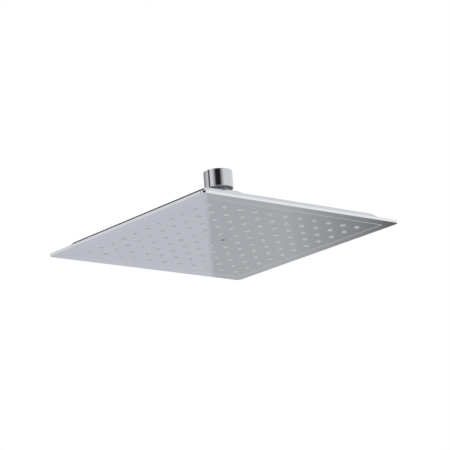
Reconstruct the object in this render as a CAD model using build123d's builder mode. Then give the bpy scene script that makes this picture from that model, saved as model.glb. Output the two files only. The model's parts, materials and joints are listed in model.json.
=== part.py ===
from build123d import *
import math
import os

# Square overhead shower head on a ball joint, hung by its inlet
# Millimetres, +Z up, origin at the centre of the inlet mouth

# Inlet collar, neck and ball
thread_bore = 18.6  # wall that the half-inch parallel thread is cut into
thread_length = 8.5
collar_d = 23.4
collar_top_chamfer = 0.3
collar_low_chamfer = 0.3
collar_floor = 1.8  # brass left under the flow regulator
neck_d = 11.0
neck_gap = 5.4  # free height between collar and nut
water_d = 7.5
ball_d = 20.0
ball_foot_d = 8.6  # flat under the ball, around the waterway

# What the water passes on its way in
washer_t = 2.0
washer_hole_d = 12.0
washer_relief = 0.3  # the washer's recess is this much wider than the thread, all round
screen_t = 0.5
regulator_d = 12.4
regulator_t = 1.8
regulator_hole_d = 1.8
regulator_hole_circle = 7.0
regulator_hole_count = 4

# Ball joint
tilt = 12.0  # degrees to each side
ball_play = 0.05
spin_play = 0.05
ring_t = 2.0
ring_low = 14.0  # degrees above the ball's equator
ring_high = 32.0
nut_grip = 26.0  # latitude where the nut bears on the ring
seal_grip = -38.0  # latitude where the ball bears on the seal
seal_wall = 2.15
seal_rim_drop = 2.5  # ball centre down to the seal's rim
seal_floor = 2.3
seal_hole_d = 10.0
boss_wall = 2.0
boss_floor = 2.0
boss_flange_d = 34.0
spigot_wall = 2.0  # around the water hole, where the boss is pressed into the hub
spigot_gap = 0.05
boss_drop = 1.0  # ball centre down to the boss's rim
nut_gap = 0.3  # nut shoulder to the boss's rim
nut_wall = 2.0
nut_h = 17.0
nut_chamfer = 1.2  # height taken off at the corners
nut_chamfer_angle = 30.0

# Shell
plate_side = 200.0
plate_corner = 4.0
rim_t = 2.3
rim_chamfer = 0.3
back_height = 9.9  # face to flat back
bevel_foot_inset = 6.0
bevel_top_inset = 14.3
bevel_corner = 3.0
bevel_round = 0.8
shell_wall = 2.5
hub_rise = 4.56  # flat back to the top of the hub
hub_low_d = 64.0
hub_high_d = 36.0

# Face plate, nozzles and their mat
seam_inset = 10.0
seam_gap = 0.2
seam_chamfer = 0.4
pocket_corner = 1.5
face_t = 2.0
mat_t = 1.5
ledge = 6.0  # width of the shell's step that clamps the mat's edge
edge_gap = 0.3
nozzle_pitch = 15.2
nozzle_d = 4.0
nozzle_proud = 0.8
nozzle_sides = 6  # few faces on each nozzle keep the pattern light
nozzle_gap = 0.1
outlet_d = 1.3
outlet_sides = 4

# Retainer and screws
retainer_t = 1.8
slot_w = 5.0
slot_bar = 4.0  # least bar left between the slots' ends and the retainer's edge
screw_d = 3.0
screw_head_d = 5.6
screw_length = 9.4
short_screw_length = 5.0
screw_gap = 0.05
screw_tip_gap = 0.3
socket_d = 2.3
socket_depth = 0.9
post_wall = 2.0
post_gap = 2.0  # water passes over the post here
web_t = 1.6
web_inset = 2.5  # ends of the webs, inside the foot of the hub's hollow

# Levels and radii that follow from the sizes above
ball_r = ball_d / 2
ring_r = ball_r + ring_t
nut_rise = ring_r * math.sin(math.radians(ring_high + tilt))
recess_z = -thread_length
recess_floor_z = recess_z - washer_t - screen_t
pocket_floor_z = recess_floor_z - regulator_t
collar_z = pocket_floor_z - collar_floor
nut_top_z = collar_z - neck_gap
ball_z = nut_top_z - nut_rise


def cone_radius(sphere_r, latitude, height):
    """Radius, at a height over the ball's centre, of the cone that touches a sphere about it at a latitude."""
    angle = math.radians(latitude)
    return sphere_r / math.cos(angle) - height * math.tan(angle)


def cone_height(sphere_r, latitude, radius):
    """Height over the ball's centre where that cone has a radius."""
    angle = math.radians(latitude)
    return (sphere_r - radius * math.cos(angle)) / math.sin(angle)


def polar(radius, latitude):
    """Point of a profile at a radius and latitude about the ball's centre."""
    angle = math.radians(latitude)
    return (radius * math.cos(angle), ball_z + radius * math.sin(angle))


seal_rim_r = cone_radius(ball_r + ball_play, seal_grip, -seal_rim_drop)
seal_r = seal_rim_r + seal_wall
seal_hole_r = seal_hole_d / 2
seal_cone_foot_z = ball_z + cone_height(ball_r + ball_play, seal_grip, seal_hole_r)
boss_bore_r = seal_r + spin_play
boss_r = boss_bore_r + boss_wall
boss_top_z = ball_z - boss_drop
boss_floor_z = seal_cone_foot_z - seal_floor
hub_top_z = boss_floor_z - boss_floor
back_z = hub_top_z - hub_rise
face_z = back_z - back_height
roof_z = back_z - shell_wall
mat_z = face_z + face_t
ledge_z = mat_z + mat_t
retainer_top_z = ledge_z + retainer_t
hub_ceiling_z = hub_top_z - shell_wall
post_top_z = hub_ceiling_z - post_gap
pocket_side = plate_side - 2 * seam_inset
chamber_side = pocket_side - 2 * ledge
retainer_side = chamber_side - 2 * edge_gap
spigot_r = seal_hole_r + spigot_wall
hollow_foot_r = hub_low_d / 2 - shell_wall
hollow_top_r = hub_high_d / 2 - shell_wall
rows_each_way = math.floor((retainer_side / 2 - slot_bar - slot_w / 2) / nozzle_pitch)
nozzle_rows = 2 * rows_each_way + 1
screw_head_h = (screw_head_d - screw_d) / 2
screw_spot = (nozzle_rows - 2) * nozzle_pitch  # between the outer two rows
row_numbers = range(-rows_each_way, rows_each_way + 1)
nozzle_spots = [
    (column * nozzle_pitch, row * nozzle_pitch)
    for column in row_numbers
    for row in row_numbers
    if column or row
]
foot = (Align.CENTER, Align.CENTER, Align.MIN)

os.makedirs("parts", exist_ok=True)

# Inlet connector: collar, neck and ball turned from one bar
with BuildPart() as inlet_connector:
    with BuildSketch(Plane.XY.offset(collar_z)):
        Circle(collar_d / 2)
    extrude(amount=-collar_z)
    chamfer(inlet_connector.edges().group_by(Axis.Z)[-1], collar_top_chamfer)
    chamfer(inlet_connector.edges().group_by(Axis.Z)[0], collar_low_chamfer)
    with Locations((0, 0, ball_z)):
        Sphere(ball_r)
    with BuildSketch(Plane.XY.offset(ball_z)):
        Circle(neck_d / 2)
    extrude(amount=collar_z - ball_z)
    foot_z = ball_z - math.sqrt(ball_r**2 - (ball_foot_d / 2) ** 2)
    with BuildSketch(Plane.XY.offset(foot_z)):
        Circle(ball_r)
    extrude(amount=-ball_r, mode=Mode.SUBTRACT)
    with BuildSketch(Plane.XY.offset(foot_z)):
        Circle(water_d / 2)
    extrude(amount=pocket_floor_z - foot_z, mode=Mode.SUBTRACT)
    with BuildSketch(Plane.XY.offset(pocket_floor_z)):
        Circle(regulator_d / 2 + edge_gap)
    extrude(amount=regulator_t, mode=Mode.SUBTRACT)
    with BuildSketch(Plane.XY.offset(recess_floor_z)):
        Circle(thread_bore / 2 + washer_relief)
    extrude(amount=washer_t + screen_t, mode=Mode.SUBTRACT)
    with BuildSketch(Plane.XY.offset(recess_z)):
        Circle(thread_bore / 2)
    extrude(amount=thread_length, mode=Mode.SUBTRACT)
inlet_connector.part.label = "inlet_connector"
export_step(inlet_connector.part, "parts/inlet_connector.step")

# Washer that the pipe end is screwed down on
with BuildPart() as inlet_washer:
    with BuildSketch(Plane.XY.offset(recess_z - washer_t)):
        Circle(thread_bore / 2)
        Circle(washer_hole_d / 2, mode=Mode.SUBTRACT)
    extrude(amount=washer_t)
inlet_washer.part.label = "inlet_washer"
export_step(inlet_washer.part, "parts/inlet_washer.step")

# Wire gauze disc under the washer
with BuildPart() as filter_screen:
    with BuildSketch(Plane.XY.offset(recess_floor_z)):
        Circle(thread_bore / 2)
    extrude(amount=screen_t)
filter_screen.part.label = "filter_screen"
export_step(filter_screen.part, "parts/filter_screen.step")

# Drilled disc that limits the flow
with BuildPart() as flow_regulator:
    with BuildSketch(Plane.XY.offset(pocket_floor_z)):
        Circle(regulator_d / 2)
        with PolarLocations(regulator_hole_circle / 2, regulator_hole_count):
            Circle(regulator_hole_d / 2, mode=Mode.SUBTRACT)
    extrude(amount=regulator_t)
flow_regulator.part.label = "flow_regulator"
export_step(flow_regulator.part, "parts/flow_regulator.step")

# Plastic ring between ball and nut, with a round back so that it can tilt in the nut
with BuildPart() as friction_ring:
    ring_middle = (ring_low + ring_high) / 2
    ring_foot, ring_top = polar(ring_r, ring_low), polar(ring_r, ring_high)
    inner_foot_r = cone_radius(ball_r + ball_play, ring_middle, ring_foot[1] - ball_z)
    inner_top_r = cone_radius(ball_r + ball_play, ring_middle, ring_top[1] - ball_z)
    with BuildSketch(Plane.XZ):
        with BuildLine():
            Polyline(ring_foot, (inner_foot_r, ring_foot[1]), (inner_top_r, ring_top[1]), ring_top)
            ThreePointArc(ring_top, polar(ring_r, ring_middle), ring_foot)
        make_face()
    revolve(axis=Axis.Z)
friction_ring.part.label = "friction_ring"
export_step(friction_ring.part, "parts/friction_ring.step")

# Rubber cup that the ball turns in
with BuildPart() as ball_seal:
    seal_rim_z = ball_z - seal_rim_drop
    with BuildSketch(Plane.XZ):
        with BuildLine():
            Polyline(
                (seal_hole_r, boss_floor_z),
                (seal_r, boss_floor_z),
                (seal_r, seal_rim_z),
                (seal_rim_r, seal_rim_z),
                (seal_hole_r, seal_cone_foot_z),
                close=True,
            )
        make_face()
    revolve(axis=Axis.Z)
ball_seal.part.label = "ball_seal"
export_step(ball_seal.part, "parts/ball_seal.step")

# Hexagon nut that keeps the ball in the boss
with BuildPart() as ball_nut:
    nut_foot_z = nut_top_z - nut_h
    nut_flat_r = boss_r + spin_play + nut_wall
    nut_corner_r = nut_flat_r / math.cos(math.radians(30))
    shoulder_z = boss_top_z + nut_gap
    nut_cone_foot_z = ball_z + cone_height(ring_r + ball_play, nut_grip, boss_bore_r)
    lip_r = cone_radius(ring_r + ball_play, nut_grip, nut_rise)
    chamfer_slope = math.tan(math.radians(nut_chamfer_angle))
    nut_face_r = nut_corner_r - nut_chamfer / chamfer_slope
    clear_r = nut_corner_r + nut_chamfer
    with BuildSketch(Plane.XY.offset(nut_foot_z)):
        RegularPolygon(nut_flat_r, 6, major_radius=False)
    extrude(amount=nut_h)
    with BuildSketch(Plane.XZ):
        with BuildLine():
            Polyline(
                (0, nut_foot_z),
                (boss_r + spin_play, nut_foot_z),
                (boss_r + spin_play, shoulder_z),
                (boss_bore_r, shoulder_z),
                (boss_bore_r, nut_cone_foot_z),
                (lip_r, nut_top_z),
                (0, nut_top_z),
                close=True,
            )
        make_face()
    revolve(axis=Axis.Z, mode=Mode.SUBTRACT)
    with BuildSketch(Plane.XZ):
        with BuildLine():
            Polyline(
                (nut_face_r, nut_top_z),
                (clear_r, nut_top_z),
                (clear_r, nut_top_z - (clear_r - nut_face_r) * chamfer_slope),
                close=True,
            )
        make_face()
    revolve(axis=Axis.Z, mode=Mode.SUBTRACT)
ball_nut.part.label = "ball_nut"
export_step(ball_nut.part, "parts/ball_nut.step")

# Threaded boss that the nut screws onto, pressed into the shell's hub
with BuildPart() as swivel_boss:
    with BuildSketch(Plane.XZ):
        with BuildLine():
            Polyline(
                (seal_hole_r, hub_ceiling_z),
                (spigot_r, hub_ceiling_z),
                (spigot_r, hub_top_z),
                (boss_flange_d / 2, hub_top_z),
                (boss_flange_d / 2, boss_floor_z),
                (boss_r, boss_floor_z),
                (boss_r, boss_top_z),
                (boss_bore_r, boss_top_z),
                (boss_bore_r, boss_floor_z),
                (seal_hole_r, boss_floor_z),
                close=True,
            )
        make_face()
    revolve(axis=Axis.Z)
swivel_boss.part.label = "swivel_boss"
export_step(swivel_boss.part, "parts/swivel_boss.step")

# Back shell: rim, bevelled back and hub in one moulding
with BuildPart() as back_shell:
    with BuildSketch(Plane.XY.offset(face_z)):
        RectangleRounded(plate_side, plate_side, plate_corner)
    extrude(amount=rim_t)
    chamfer(back_shell.edges().group_by(Axis.Z)[0], rim_chamfer)
    for inset, level in ((bevel_foot_inset, face_z + rim_t), (bevel_top_inset, back_z)):
        with BuildSketch(Plane.XY.offset(level)):
            RectangleRounded(plate_side - 2 * inset, plate_side - 2 * inset, bevel_corner)
    loft(ruled=True)
    fillet(back_shell.faces().sort_by(Axis.Z)[-1].edges(), bevel_round)
    with BuildSketch(Plane.XZ):
        with BuildLine():
            Polyline(
                (0, roof_z),
                (hub_low_d / 2, roof_z),
                (hub_low_d / 2, back_z),
                (hub_high_d / 2, hub_top_z),
                (0, hub_top_z),
                close=True,
            )
        make_face()
    revolve(axis=Axis.Z)
    with BuildSketch(Plane.XY.offset(face_z)):
        RectangleRounded(pocket_side, pocket_side, pocket_corner)
    extrude(amount=ledge_z - face_z, mode=Mode.SUBTRACT)
    pocket_mouth = back_shell.faces().sort_by(Axis.Z)[0].inner_wires()[0]
    chamfer(pocket_mouth.edges(), seam_chamfer)
    with BuildSketch(Plane.XY.offset(ledge_z)):
        RectangleRounded(chamber_side, chamber_side, pocket_corner)
    extrude(amount=roof_z - ledge_z, mode=Mode.SUBTRACT)
    with BuildSketch(Plane.XZ):
        with BuildLine():
            Polyline(
                (0, roof_z),
                (hollow_foot_r, roof_z),
                (hollow_top_r, hub_ceiling_z),
                (spigot_r + spigot_gap, hub_ceiling_z),
                (spigot_r + spigot_gap, hub_top_z),
                (0, hub_top_z),
                close=True,
            )
        make_face()
    revolve(axis=Axis.Z, mode=Mode.SUBTRACT)
    with BuildSketch(Plane.XY.offset(roof_z)):
        with PolarLocations(0, 2, angular_range=180):
            Rectangle(2 * (hollow_foot_r - web_inset), web_t)
    extrude(amount=post_top_z - roof_z)
    with BuildSketch(Plane.XY.offset(retainer_top_z)):
        Circle(screw_d / 2 + post_wall)
    extrude(amount=post_top_z - retainer_top_z)
    with BuildSketch(Plane.XY.offset(retainer_top_z)):
        with GridLocations(screw_spot, screw_spot, 2, 2):
            Circle(screw_d / 2 + post_wall)
    extrude(amount=roof_z - retainer_top_z)
    with BuildSketch(Plane.XY.offset(retainer_top_z)):
        Circle(screw_d / 2 + screw_gap)
    extrude(amount=face_z + screw_length + screw_tip_gap - retainer_top_z, mode=Mode.SUBTRACT)
    with BuildSketch(Plane.XY.offset(retainer_top_z)):
        with GridLocations(screw_spot, screw_spot, 2, 2):
            Circle(screw_d / 2 + screw_gap)
    extrude(amount=ledge_z + short_screw_length + screw_tip_gap - retainer_top_z, mode=Mode.SUBTRACT)
back_shell.part.label = "back_shell"
export_step(back_shell.part, "parts/back_shell.step")

# Slotted plate behind the mat, which stops the nozzles from being pushed in
with BuildPart() as mat_retainer:
    slot_length = nozzle_pitch * (nozzle_rows - 1) + slot_w
    half_slot = slot_length / 2 - nozzle_pitch / 2
    with BuildSketch(Plane.XY.offset(ledge_z)):
        RectangleRounded(retainer_side, retainer_side, pocket_corner)
        with Locations(*[(0, row * nozzle_pitch) for row in row_numbers if row]):
            Rectangle(slot_length, slot_w, mode=Mode.SUBTRACT)
        with Locations(*[(side * (slot_length - half_slot) / 2, 0) for side in (-1, 1)]):
            Rectangle(half_slot, slot_w, mode=Mode.SUBTRACT)
        Circle(screw_d / 2 + edge_gap, mode=Mode.SUBTRACT)
    extrude(amount=retainer_t)
    with Locations(Plane((0, 0, ledge_z), z_dir=(0, 0, -1))):
        with GridLocations(screw_spot, screw_spot, 2, 2):
            CounterSinkHole(screw_d / 2 + screw_gap, screw_head_d / 2 + screw_gap, counter_sink_angle=90)
mat_retainer.part.label = "mat_retainer"
export_step(mat_retainer.part, "parts/mat_retainer.step")

# Four countersunk screws that hold the retainer to the shell's posts
with BuildPart() as retainer_screws:
    with Locations((0, 0, ledge_z)):
        with GridLocations(screw_spot, screw_spot, 2, 2):
            Cone(screw_head_d / 2, screw_d / 2, screw_head_h, align=foot)
            Cylinder(screw_d / 2, short_screw_length, align=foot)
retainer_screws.part.label = "retainer_screws"
export_step(retainer_screws.part, "parts/retainer_screws.step")

# Silicone sheet with all the nozzles moulded on it
with BuildPart() as nozzle_mat:
    mat_side = pocket_side - 2 * edge_gap
    with BuildSketch(Plane.XY.offset(mat_z)):
        RectangleRounded(mat_side, mat_side, pocket_corner)
        Circle(screw_d / 2 + edge_gap, mode=Mode.SUBTRACT)
        with Locations(*nozzle_spots):
            RegularPolygon(outlet_d / 2, outlet_sides, mode=Mode.SUBTRACT)
    extrude(amount=mat_t)
    with BuildSketch(Plane.XY.offset(mat_z)):
        with Locations(*nozzle_spots):
            RegularPolygon(nozzle_d / 2, nozzle_sides)
            RegularPolygon(outlet_d / 2, outlet_sides, mode=Mode.SUBTRACT)
    extrude(amount=-(face_t + nozzle_proud))
nozzle_mat.part.label = "nozzle_mat"
export_step(nozzle_mat.part, "parts/nozzle_mat.step")

# Face plate let into the rim, with a hole for each nozzle
with BuildPart() as face_plate:
    face_side = pocket_side - 2 * seam_gap
    with BuildSketch(Plane.XY.offset(face_z)):
        RectangleRounded(face_side, face_side, pocket_corner)
        with Locations(*nozzle_spots):
            RegularPolygon(nozzle_d / 2 + nozzle_gap, nozzle_sides, mode=Mode.SUBTRACT)
    extrude(amount=face_t)
    with Locations(Plane((0, 0, face_z), z_dir=(0, 0, -1))):
        CounterSinkHole(screw_d / 2 + screw_gap, screw_head_d / 2 + screw_gap, counter_sink_angle=90)
    outer_wire = face_plate.faces().sort_by(Axis.Z)[0].outer_wire()
    chamfer(outer_wire.edges(), seam_chamfer)
face_plate.part.label = "face_plate"
export_step(face_plate.part, "parts/face_plate.step")

# Screw in the middle of the face
with BuildPart() as centre_screw:
    with Locations((0, 0, face_z)):
        Cone(screw_head_d / 2, screw_d / 2, screw_head_h, align=foot)
        Cylinder(screw_d / 2, screw_length, align=foot)
    with BuildSketch(Plane.XY.offset(face_z)):
        RegularPolygon(socket_d / 2, 6)
    extrude(amount=socket_depth, mode=Mode.SUBTRACT)
centre_screw.part.label = "centre_screw"
export_step(centre_screw.part, "parts/centre_screw.step")
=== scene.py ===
"""Dresses the solids of a square overhead shower head: finer shapes, finishes and a studio."""

import json
import math

import bmesh
import bpy
from bpy.props import FloatProperty, FloatVectorProperty, IntProperty, PointerProperty
from mathutils import Matrix, Vector


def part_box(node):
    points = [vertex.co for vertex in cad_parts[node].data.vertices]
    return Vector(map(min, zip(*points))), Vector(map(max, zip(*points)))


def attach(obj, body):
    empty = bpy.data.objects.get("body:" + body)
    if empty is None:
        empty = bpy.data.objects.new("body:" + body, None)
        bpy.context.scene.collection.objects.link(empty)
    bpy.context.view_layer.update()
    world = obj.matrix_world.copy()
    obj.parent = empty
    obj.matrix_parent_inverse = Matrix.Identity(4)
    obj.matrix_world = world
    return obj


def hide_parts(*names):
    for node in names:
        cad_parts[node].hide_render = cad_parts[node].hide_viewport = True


bl_info = {
    "name": "Square Shower Head",
    "version": (1, 0, 0),
    "blender": (4, 5, 0),
    "location": "3D View > Sidebar > Shower Head",
    "description": "Dresses the solids of a shower head in finer shapes and real finishes",
    "category": "Add Mesh",
}

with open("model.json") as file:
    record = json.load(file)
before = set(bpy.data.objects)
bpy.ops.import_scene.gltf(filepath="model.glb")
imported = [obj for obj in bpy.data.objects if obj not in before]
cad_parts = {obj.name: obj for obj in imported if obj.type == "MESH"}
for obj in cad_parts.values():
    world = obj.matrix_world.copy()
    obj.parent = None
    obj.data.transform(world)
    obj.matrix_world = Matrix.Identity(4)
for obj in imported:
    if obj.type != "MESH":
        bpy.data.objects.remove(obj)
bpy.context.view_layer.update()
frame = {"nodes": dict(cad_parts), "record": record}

MM = 0.001
TURN = 2 * math.pi

# How finely the meshes are drawn
ROUND_STEPS = 5  # facets on a rounded edge
LATHE_FACETS = 96
BALL_STEPS = 28
HOLE_FACETS = 16  # few, because the pattern repeats them 120 times
POST_FACETS = 32
SIDE_STEPS = 16  # facets on a side of the shell's square
CORNER_STEPS = 8  # and on a corner of it
BORDER_STEPS = 4  # facets on a corner of the face plate and of the mat
THREAD_ROWS = 14  # rows of faces on one turn of a thread
# Degrees along one side of the nut, closest together at its worn corners
NUT_ANGLES = (0, 0.7, 1.6, 3.2, 6, 10, 15, 20, 25, 30, 35, 40, 45, 50, 54, 56.8, 58.4, 59.3)
WIRE_FACETS = 6
WIRE_BITS = 3.0  # pieces of wire from one crossing to the next
SHARP_ANGLE = math.radians(32)
MERGE_DISTANCE = 0.001 * MM

# Shape of every thread
THREAD_FLAT = 0.14  # share of the flank that is cut off at crest and root
RUN_OUT = 0.5  # turns over which a thread fades away

HALFWAY_ROUND = 0.3  # how far the middle of a rounding cuts its corner, as a share of its radius
WAVE_PACE = 20  # radians that the wave texture turns through in one unit

# Levels and the half width that the pieces share, read from the solids
FACE_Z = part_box("face_plate")[0].z
MAT_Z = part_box("face_plate")[1].z
MAT_BACK_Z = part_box("nozzle_mat")[1].z
NOZZLE_TIP_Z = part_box("nozzle_mat")[0].z
RETAINER_TOP_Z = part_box("mat_retainer")[1].z
HUB_TOP_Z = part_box("back_shell")[1].z
PLATE_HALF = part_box("back_shell")[1].x


def linear(hex_colour):
    """Linear red, green and blue of an sRGB hex colour."""
    shares = [int(hex_colour[i : i + 2], 16) / 255 for i in (1, 3, 5)]
    return [s / 12.92 if s <= 0.04045 else ((s + 0.055) / 1.055) ** 2.4 for s in shares]


def length(name, description, size_mm):
    """A size that a user may change, given in millimetres."""
    return FloatProperty(
        name=name, description=description, default=size_mm * MM, min=0, precision=5, unit="LENGTH"
    )


def degrees(name, description, size):
    """An angle that a user may change, given in degrees."""
    return FloatProperty(
        name=name, description=description, default=math.radians(size), subtype="ANGLE"
    )


def share(name, description, default):
    """A level from 0 to 1 that a user may change."""
    return FloatProperty(
        name=name, description=description, default=default, min=0, max=1, subtype="FACTOR"
    )


def colour(name, description, hex_colour):
    """A colour that a user may change, given as sRGB hex."""
    return FloatVectorProperty(
        name=name, description=description, default=linear(hex_colour), subtype="COLOR"
    )


class CollarSizes(bpy.types.PropertyGroup):
    """Sizes of the inlet collar, its thread, neck and ball."""

    bore_radius: length("Bore radius", "Radius over the crests of the inlet thread", 9.3)
    thread_depth: length("Thread depth", "Depth of the half-inch pipe thread", 1.16)
    thread_pitch: length("Thread pitch", "Rise of one turn, 14 turns to the inch", 1.814)
    lead_in: length("Lead-in", "Bevel that guides the pipe into the thread", 1.25)
    recess_radius: length("Recess radius", "Recess that holds washer and gauze", 9.6)
    pocket_radius: length("Pocket radius", "Pocket of the flow regulator", 6.5)
    water_radius: length("Waterway radius", "Drilling through neck and ball", 3.75)
    floor: length("Floor", "Brass under the flow regulator", 1.8)
    top_round: length("Top round", "Rounding of the collar's upper edge", 0.3)
    low_round: length("Lower round", "Rounding of the collar's lower edge", 0.3)
    neck_radius: length("Neck radius", "Radius of the neck between collar and ball", 5.5)
    neck_fillet: length("Neck fillet", "Fillet where the neck meets the collar", 0.6)
    ball_radius: length("Ball radius", "Radius of the ball", 10)
    foot_radius: length("Foot radius", "Flat under the ball", 4.3)
    edge_break: length("Edge break", "Broken edges of the waterway", 0.3)


class JointSizes(bpy.types.PropertyGroup):
    """Sizes of the ball nut and of the threaded boss under it."""

    nut_bore: length("Nut bore", "Radius of the nut's plain lower bore", 15.05)
    nut_seat: length("Nut seat", "Radius of the nut's upper bore, over the friction ring", 13.0)
    nut_lip: length("Nut lip", "Radius of the nut's opening around the neck", 9.341)
    shoulder_drop: length("Shoulder drop", "Top of the nut down to its inner shoulder", 9.036)
    seat_drop: length("Seat drop", "Top of the nut down to the foot of its cone", 7.502)
    corner_chamfer: length("Corner chamfer", "Height taken off the nut's corners at the top", 1.2)
    chamfer_angle: degrees("Chamfer angle", "Slope of the nut's chamfer", 30)
    edge_break: length("Edge break", "Broken edges of nut and boss", 0.25)
    boss_radius: length("Boss radius", "Radius over the crests of the boss's thread", 15.0)
    boss_bore: length("Boss bore", "Bore that the rubber cup sits in", 13.0)
    boss_floor: length("Boss floor", "Thickness of the boss's flange and floor", 2.0)
    thread_depth: length("Thread depth", "Depth of the fine thread on the boss", 0.8)
    thread_pitch: length("Thread pitch", "Rise of one turn of that thread", 1.5)
    spigot_radius: length("Spigot radius", "Spigot pressed into the shell's hub", 7.0)
    spigot_gap: length("Spigot gap", "Play between spigot and hub", 0.05)
    hole_radius: length("Water hole radius", "Hole through the boss", 5.0)


class ShellSizes(bpy.types.PropertyGroup):
    """Sizes of the back shell."""

    corner: length("Corner", "Rounding of the square's corners in plan", 4.0)
    rim: length("Rim", "Height of the upright rim", 2.3)
    rim_round: length("Rim round", "Rounding of the rim's edges", 0.3)
    back_height: length("Back height", "Face to flat back", 9.9)
    bevel_foot: length("Bevel foot", "Outer edge to the foot of the bevel", 6.0)
    bevel_top: length("Bevel top", "Outer edge to the top of the bevel", 14.3)
    bevel_corner: length("Bevel corner", "Rounding of the bevel's corners in plan", 3.0)
    bevel_round: length("Bevel round", "Rounding between bevel and flat back", 0.8)
    wall: length("Wall", "Thickness of the moulding", 2.5)
    hub_low: length("Hub foot radius", "Radius of the hub on the flat back", 32.0)
    hub_high: length("Hub top radius", "Radius of the hub's flat top", 18.0)
    hub_round: length("Hub round", "Rounding of the hub's edges", 0.8)
    pocket: length("Pocket inset", "Outer edge to the pocket of the face plate", 10.0)
    pocket_corner: length("Pocket corner", "Rounding of the pocket's corners in plan", 1.5)
    seam_bevel: length("Seam bevel", "Bevel on the shell's side of the seam around the face", 0.4)
    ledge: length("Ledge", "Step that clamps the nozzle mat", 6.0)
    post_radius: length("Post radius", "Screw posts inside the shell", 3.5)
    post_bore: length("Post bore", "Bore of the screw posts", 1.55)
    post_spot: length("Post spot", "Distance of the posts from the middle, both ways", 68.4)
    web: length("Web", "Thickness of the webs that carry the middle post", 1.6)
    web_reach: length("Web reach", "Length of the webs from the middle", 27.0)
    post_gap: length("Post gap", "Way for the water over the middle post", 2.0)


class FaceSizes(bpy.types.PropertyGroup):
    """Sizes of the face plate and of the nozzles that come through it."""

    rows: IntProperty(name="Rows", description="Nozzles in a row, both ways", default=11, min=3)
    pitch: length("Pitch", "Distance between nozzles", 15.2)
    hole_radius: length("Hole radius", "Holes in the face plate", 2.1)
    hole_break: length("Hole break", "Broken edge of each hole", 0.06)
    nozzle_radius: length("Nozzle radius", "Nozzle where it fills its hole in the face", 2.07)
    tip_radius: length("Tip radius", "Nozzle at its tip", 1.75)
    tip_round: length("Tip round", "Rounding of the soft tip", 0.3)
    outlet_radius: length("Outlet radius", "Hole that the jet leaves by", 0.5)
    outlet_flare: length("Outlet flare", "Flare of the outlet at tip and back", 0.1)
    screw_head: length("Screw head radius", "Countersink of the middle screw", 2.85)
    screw_hole: length("Screw hole radius", "Hole of the middle screw in the face", 1.55)
    mat_hole: length("Mat hole radius", "Hole of the middle screw in the mat", 1.8)
    corner: length("Corner", "Rounding of the plate's corners in plan", 1.5)
    seam_bevel: length("Seam bevel", "Bevel around the plate's visible edge", 0.4)


class GauzeSizes(bpy.types.PropertyGroup):
    """Sizes of the woven filter screen."""

    spacing: length("Wire spacing", "Distance between wires", 0.8)
    wire_radius: length("Wire radius", "Radius of one wire", 0.12)
    rim: length("Rim", "Width of the pressed rim", 0.6)


class Colours(bpy.types.PropertyGroup):
    """Colours of the finishes."""

    shell_chrome: colour("Shell chrome", "Bright chrome on the moulded shell", "#E4E6E9")
    collar_chrome: colour("Collar chrome", "Bright chrome on the turned brass", "#CACBCE")
    # Painted shade: the darker chrome colour around the neck, under the collar's foot
    neck_shade_chrome: colour("Thin chrome", "Thin plating around the neck", "#8A8F95")
    face_chrome: colour("Face chrome", "Mirror chrome of the face plate", "#E1E3E6")
    silicone: colour("Silicone", "Nozzles and their mat", "#DADBDD")
    rubber: colour("Rubber", "Washer and ball seal", "#1B1B1C")
    acetal: colour("Acetal", "Friction ring and flow regulator", "#E6E4DD")
    plain_plastic: colour("Plain plastic", "Retainer behind the mat", "#232324")
    steel: colour("Steel", "Screws and gauze", "#B8B8B6")


class StageSettings(bpy.types.PropertyGroup):
    """Camera, floor and light."""

    azimuth: degrees("Azimuth", "Heading of the view, from +X", 49.529)
    elevation: degrees("Elevation", "How far the camera looks up", 15.193)
    roll: degrees("Roll", "Lean of the camera", 4.332)
    place: FloatVectorProperty(
        name="Place",
        description="Camera, from the middle of the face",
        default=(-1.00014, -1.17626, -0.40690),
        subtype="TRANSLATION",
        unit="LENGTH",
    )
    lens: FloatProperty(
        name="Lens", description="Focal length on a 36 mm sensor", default=159.70, unit="CAMERA"
    )
    floor_drop: length("Floor drop", "Face down to the floor, as in a real shower", 2000)
    floor_lift: share("Floor lift", "White that the eye adds to the floor's own shade", 0.3)
    card_distance: length("Card distance", "Face to the screen that it mirrors", 1600)
    room_light: share("Room light", "Level of the light from all around", 0.72)
    soft_box: FloatProperty(
        name="Soft box", description="Power of the lamp overhead", default=14.0, unit="POWER"
    )


# Materials


def add(tree, kind, inputs=None, stops=(), **settings):
    """Adds a node with its settings, what its sockets hold or are fed by, and a ramp's stops.

    A node stands for its first output, and a stop is a place and a hex colour.
    """
    node = tree.nodes.new(kind)
    for setting, value in settings.items():
        setattr(node, setting, value)
    for socket, source in (inputs or {}).items():
        if isinstance(source, bpy.types.Node):
            source = source.outputs[0]
        if isinstance(source, bpy.types.NodeSocket):
            tree.links.new(source, node.inputs[socket])
        else:
            node.inputs[socket].default_value = source
    for i, (place, shade) in enumerate(stops):
        elements = node.color_ramp.elements
        stop = elements[i] if i < len(elements) else elements.new(place)
        stop.position, stop.color = place, (*linear(shade), 1)
    return node


def per_metre(size_mm):
    """Texture scale that makes a pattern's features this many millimetres large."""
    return 1 / (size_mm * MM)


def begin(name, base, roughness, metallic=0.0, **sockets):
    """A material, its tree, its shader and the coordinates that its pattern is laid out in."""
    material = bpy.data.materials.new(name)
    material.use_nodes = True
    tree = material.node_tree
    shader = tree.nodes["Principled BSDF"]
    shader.inputs["Base Color"].default_value = (*base, 1)
    shader.inputs["Roughness"].default_value = roughness
    shader.inputs["Metallic"].default_value = metallic
    for socket, value in sockets.items():
        shader.inputs[socket.replace("_", " ")].default_value = value
    place = add(tree, "ShaderNodeTexCoord").outputs["Object"]
    return material, tree, shader, place


def collar_foot(sizes):
    """Height of the collar's underside, which the brass under the flow regulator sets."""
    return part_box("flow_regulator")[0].z - sizes.floor


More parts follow.
